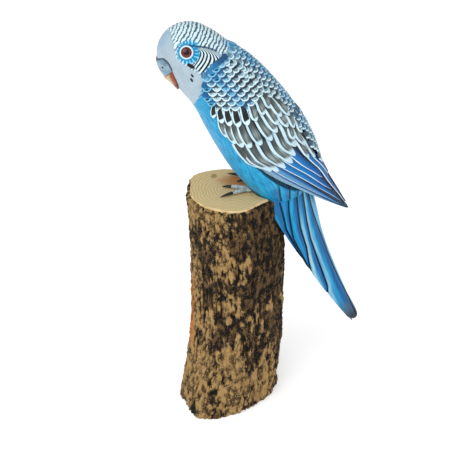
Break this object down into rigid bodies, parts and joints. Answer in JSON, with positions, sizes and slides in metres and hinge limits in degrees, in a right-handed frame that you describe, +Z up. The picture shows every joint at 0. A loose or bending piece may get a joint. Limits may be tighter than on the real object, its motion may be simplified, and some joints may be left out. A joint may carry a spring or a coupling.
{
  "type": "carved wooden budgerigar statuette on a log",
  "caption": "Life-size carved and painted wooden budgerigar, perched on a cut length of log with its bark on.",
  "frame": {"origin": "middle of the log's flat underside, on the surface it stands on", "axes": "+Z up, the bird faces -X, +Y towards its right side"},
  "size_m": [0.1053, 0.0552, 0.2153],
  "materials": {
    "paint_head": "painted, satin",
    "paint_body": "painted, satin",
    "paint_wing": "painted, satin",
    "paint_tail": "painted, satin",
    "cere": "painted, satin",
    "beak": "painted, satin",
    "eye": "glossy painted bead",
    "eye_ring": "painted",
    "foot": "painted, speckled",
    "claw": "black paint",
    "log_wood": "sawn and sanded, bare",
    "bark": "rough natural bark"
  },
  "bodies": {
    "root": {"head": "paint_head", "neck": "paint_head", "torso": "paint_body", "wing_left": "paint_wing", "wing_right": "paint_wing", "tail": "paint_tail", "cere": "cere", "beak_upper": "beak", "beak_lower": "beak", "eye_left": "eye", "eye_right": "eye", "eye_ring_left": "eye_ring", "eye_ring_right": "eye_ring", "foot_left": "foot", "foot_right": "foot", "claw_left_outer": "claw", "claw_left_inner": "claw", "claw_right_outer": "claw", "claw_right_inner": "claw", "log_wood": "log_wood", "log_bark": "bark"}
  },
  "joints": []
}
